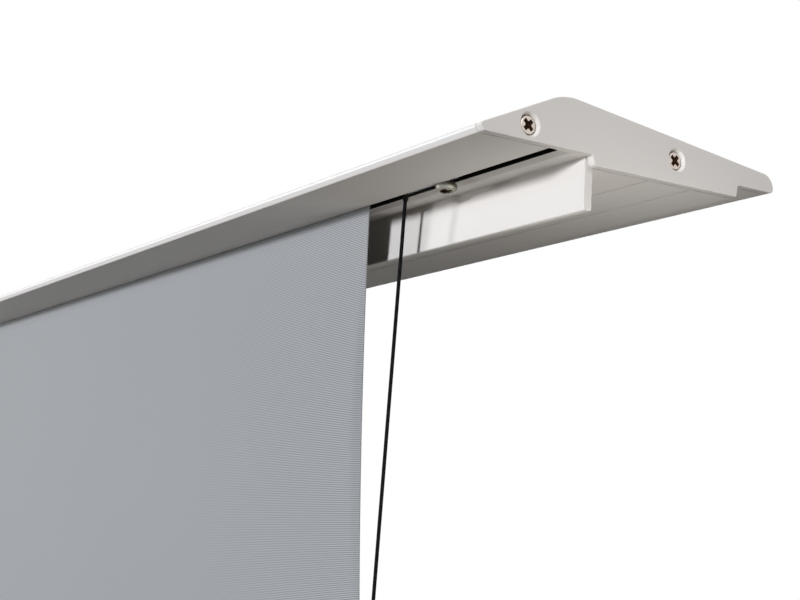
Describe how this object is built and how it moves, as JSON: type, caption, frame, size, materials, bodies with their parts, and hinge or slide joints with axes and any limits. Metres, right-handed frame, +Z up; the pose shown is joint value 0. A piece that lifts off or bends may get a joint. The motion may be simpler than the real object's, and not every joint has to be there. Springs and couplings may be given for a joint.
{
  "type": "floor-rising projector screen",
  "caption": "Floor-standing projector screen shown raised: a low casing with a motor roller, tensioned grey fabric, two knee arms behind it and a sloped aluminium lid.",
  "frame": {"origin": "on the floor under the middle of the casing, at the middle of the box around the raised screen", "axes": "+X along the casing, -Y towards the viewer, +Z up"},
  "size_m": [2.55, 0.1796, 1.5227],
  "materials": {
    "pale_paint": "extruded, with a satin pale warm grey powder coat",
    "bright_screw": "warm nickel plate",
    "zinc_steel": "zinc plate",
    "bare_aluminium": "mill finish",
    "screen_grey": "matt grey front with fine ridges and a black back",
    "black_cord": "braided",
    "black_plastic": "moulded",
    "grey_plastic": "moulded",
    "spring_steel": "oiled",
    "foot_rubber": "matt",
    "window_smoke": "smoked, polished"
  },
  "bodies": {
    "casing": {"base_profile": "bare_aluminium", "front_panel": "pale_paint", "rear_panel": "pale_paint", "casing_end_cap_left": "pale_paint", "casing_end_cap_right": "pale_paint", "casing_end_cap_left_screw_1": "bright_screw", "casing_end_cap_left_screw_2": "bright_screw", "casing_end_cap_right_screw_1": "bright_screw", "casing_end_cap_right_screw_2": "bright_screw", "foot_front_left": "foot_rubber", "foot_front_right": "foot_rubber", "foot_rear_left": "foot_rubber", "foot_rear_right": "foot_rubber", "ir_window": "window_smoke", "power_inlet": "black_plastic", "control_box": "grey_plastic", "motor_bracket": "zinc_steel", "idler_bracket": "zinc_steel", "idler_bearing": "zinc_steel", "tubular_motor": "black_plastic", "arm_base_left": "zinc_steel", "arm_base_right": "zinc_steel", "base_pin_left": "zinc_steel", "base_pin_right": "zinc_steel", "screen_fabric": "screen_grey", "tension_cord_left": "black_cord", "tension_cord_right": "black_cord"},
    "roller": {"roller_tube": "bare_aluminium", "fabric_roll": "screen_grey", "crown_ring": "black_plastic", "drive_wheel": "black_plastic", "idler_plug": "black_plastic"},
    "lower_arm_left": {"lower_arm_left": "bare_aluminium", "elbow_pin_left": "zinc_steel", "spring_drum_left": "black_plastic", "torsion_spring_left": "spring_steel"},
    "upper_arm_left": {"upper_arm_left": "bare_aluminium"},
    "lower_arm_right": {"lower_arm_right": "bare_aluminium", "elbow_pin_right": "zinc_steel", "spring_drum_right": "black_plastic", "torsion_spring_right": "spring_steel"},
    "upper_arm_right": {"upper_arm_right": "bare_aluminium"},
    "lid": {"lid_profile": "pale_paint", "lid_end_cap_left": "pale_paint", "lid_end_cap_right": "pale_paint", "lid_end_cap_left_screw_1": "bright_screw", "lid_end_cap_left_screw_2": "bright_screw", "lid_end_cap_right_screw_1": "bright_screw", "lid_end_cap_right_screw_2": "bright_screw", "slot_screw_left": "bright_screw", "slot_screw_right": "bright_screw", "cord_anchor_left": "zinc_steel", "cord_anchor_right": "zinc_steel", "clamp_rod": "zinc_steel", "lid_bracket_left": "zinc_steel", "lid_bracket_right": "zinc_steel", "top_pin_left": "zinc_steel", "top_pin_right": "zinc_steel"}
  },
  "joints": [
    {"name": "lift", "type": "hinge", "parent": "casing", "child": "lower_arm_left", "pos_m": [-0.87, 0.0565, 0.0351], "axis": [0, 1, 0], "range_deg": [0, 62.38], "deforming": ["screen_fabric", "tension_cord_left", "tension_cord_right"]},
    {"name": "elbow_left", "type": "hinge", "parent": "lower_arm_left", "child": "upper_arm_left", "pos_m": [-0.5447, 0.0355, 0.75555], "axis": [0, 1, 0], "range_deg": [-124.77, 0]},
    {"name": "lid_pivot", "type": "hinge", "parent": "upper_arm_left", "child": "lid", "pos_m": [-0.87, 0.0355, 1.476], "axis": [0, 1, 0], "range_deg": [0, 62.39]},
    {"name": "base_pivot_right", "type": "hinge", "parent": "casing", "child": "lower_arm_right", "pos_m": [0.87, 0.0565, 0.0351], "axis": [0, 1, 0], "range_deg": [-62.39, 0]},
    {"name": "elbow_right", "type": "hinge", "parent": "lower_arm_right", "child": "upper_arm_right", "pos_m": [0.5447, 0.0355, 0.75555], "axis": [0, 1, 0], "range_deg": [0, 124.77]},
    {"name": "roller_spin", "type": "hinge", "parent": "casing", "child": "roller", "pos_m": [0, -0.0123, 0.084], "axis": [1, 0, 0], "range_deg": [0, 2039.5]}
  ],
  "couplings": [
    {"joint": "elbow_left", "follows": "lift", "ratio": -2},
    {"joint": "lid_pivot", "follows": "lift", "ratio": 1},
    {"joint": "base_pivot_right", "follows": "lift", "ratio": -1},
    {"joint": "elbow_right", "follows": "lift", "ratio": 2},
    {"joint": "roller_spin", "follows": "lift", "ratio": 32.67}
  ]
}
